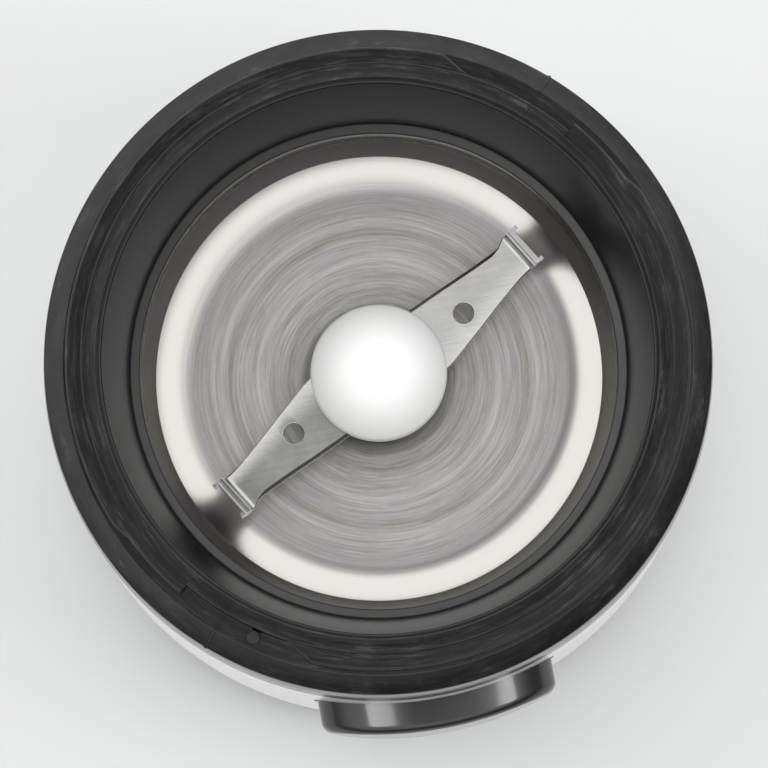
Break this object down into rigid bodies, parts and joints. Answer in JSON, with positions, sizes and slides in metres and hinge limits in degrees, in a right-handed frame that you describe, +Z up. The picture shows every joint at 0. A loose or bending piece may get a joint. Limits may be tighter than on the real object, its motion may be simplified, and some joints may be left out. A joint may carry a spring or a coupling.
{
  "type": "electric spice grinder",
  "caption": "Round blade grinder with its lid off: stepped steel bowl, two-armed blade under a domed cap, twist-lock lid collar, white body with a push button and a vented base.",
  "frame": {"origin": "on the table, on the axis of the body and the blade's shaft, at the underside of the rubber feet", "axes": "+Z up along the shaft; -Y towards the user, through the middle of the push button; +Y towards the cord gland; +X to the user's right"},
  "size_m": [0.09, 0.094, 0.1102],
  "materials": {
    "white_gloss": "gloss",
    "white_satin": "satin",
    "charcoal": "satin",
    "dark_gloss": "gloss",
    "bowl_steel": "brushed",
    "blade_steel": "ground",
    "zinc_steel": "zinc plated",
    "lamination": "stamped",
    "copper": "enamelled",
    "bronze": "sintered",
    "carbon": "matte",
    "motor_plastic": "matte",
    "switch_plastic": "matte",
    "pale_plastic": "matte",
    "capacitor_blue": "satin",
    "rubber": "matte"
  },
  "bodies": {
    "base_unit": {"base_cover": "charcoal", "base_screws": "zinc_steel", "bowl": "bowl_steel", "bowl_seal": "rubber", "brush_holder_left": "bronze", "brush_holder_right": "bronze", "brush_left": "carbon", "brush_right": "carbon", "brush_spring_left": "zinc_steel", "brush_spring_right": "zinc_steel", "button_guide": "motor_plastic", "button_spring": "zinc_steel", "carrier_grommets": "rubber", "carrier_screws": "zinc_steel", "collar": "charcoal", "cord_inlet": "charcoal", "field_coil_left": "copper", "field_coil_right": "copper", "foot_front_left": "rubber", "foot_front_right": "rubber", "foot_rear_left": "rubber", "foot_rear_right": "rubber", "housing": "white_gloss", "interlock_spring": "zinc_steel", "lid_switch": "switch_plastic", "lower_bearing": "bronze", "lower_bracket": "motor_plastic", "motor_bolts": "zinc_steel", "motor_carrier": "motor_plastic", "power_switch": "switch_plastic", "shaft_seal": "rubber", "stator_core": "lamination", "suppressor_capacitor": "capacitor_blue", "terminal_block": "pale_plastic", "thermal_cutout": "switch_plastic", "upper_bearing": "bronze"},
    "rotor": {"blade": "blade_steel", "hub_cap": "white_satin", "blade_nut": "blade_steel", "blade_boss": "blade_steel", "motor_shaft": "blade_steel", "armature": "lamination", "commutator": "copper", "cooling_fan": "motor_plastic"},
    "button": {"push_button": "dark_gloss"},
    "button_plunger": {"switch_plunger": "pale_plastic"},
    "lid_pin": {"interlock_pin": "pale_plastic"},
    "lid_plunger": {"lid_switch_plunger": "pale_plastic"}
  },
  "joints": [
    {"name": "rotor_spin", "type": "hinge", "parent": "base_unit", "child": "rotor", "pos_m": [0, 0, 0.05], "axis": [0, 0, 1], "continuous": true},
    {"name": "button_press", "type": "slide", "parent": "base_unit", "child": "button", "axis": [0, 1, 0], "range_m": [0, 0.002], "stiffness_N_per_m": 800, "springref_m": -0.001, "deforming": ["button_spring"]},
    {"name": "switch_press", "type": "slide", "parent": "base_unit", "child": "button_plunger", "axis": [0, 1, 0], "range_m": [0, 0.002]},
    {"name": "lid_pin_press", "type": "slide", "parent": "base_unit", "child": "lid_pin", "axis": [0, 0, -1], "range_m": [0, 0.0012], "stiffness_N_per_m": 300, "springref_m": -0.001, "deforming": ["interlock_spring"]},
    {"name": "lid_switch_press", "type": "slide", "parent": "base_unit", "child": "lid_plunger", "axis": [0, 0, -1], "range_m": [0, 0.0012]}
  ],
  "couplings": [
    {"joint": "switch_press", "follows": "button_press", "ratio": 1},
    {"joint": "lid_switch_press", "follows": "lid_pin_press", "ratio": 1}
  ]
}
